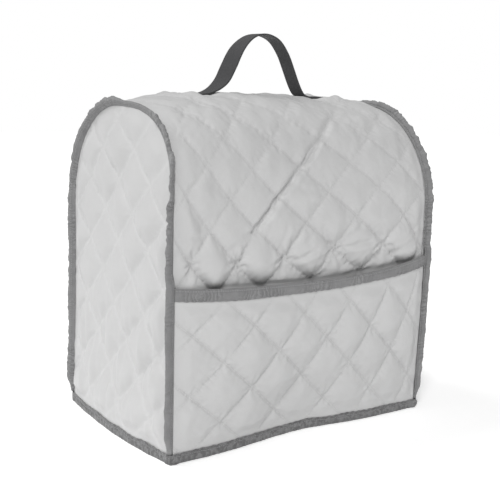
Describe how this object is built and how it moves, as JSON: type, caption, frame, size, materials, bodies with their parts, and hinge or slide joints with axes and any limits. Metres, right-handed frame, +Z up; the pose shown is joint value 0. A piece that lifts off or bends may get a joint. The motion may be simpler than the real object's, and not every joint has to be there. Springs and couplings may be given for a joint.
{
  "type": "stand mixer cover",
  "caption": "Quilted cloth dust cover with an arched top, bound seams, a wide front pocket and a webbing carry handle, open at the bottom to go over a stand mixer.",
  "frame": {"origin": "on the floor that the hem stands on, under the middle of the cover's box", "axes": "+X along the wide front towards the viewer's right, -Y out of the front with the pocket, +Z up to the handle"},
  "size_m": [0.4086, 0.2829, 0.4891],
  "materials": {
    "quilted_cloth": "smooth light grey woven polyester, quilted in diamonds",
    "grey_tape": "mid grey ribbed binding tape",
    "charcoal_webbing": "charcoal woven webbing"
  },
  "bodies": {
    "root": {"long_panel": "quilted_cloth", "side_panel_left": "quilted_cloth", "side_panel_right": "quilted_cloth", "pocket_panel": "quilted_cloth", "pocket_binding": "grey_tape", "seam_binding_left": "grey_tape", "seam_binding_right": "grey_tape", "hem_binding": "grey_tape", "handle": "charcoal_webbing"}
  },
  "joints": []
}
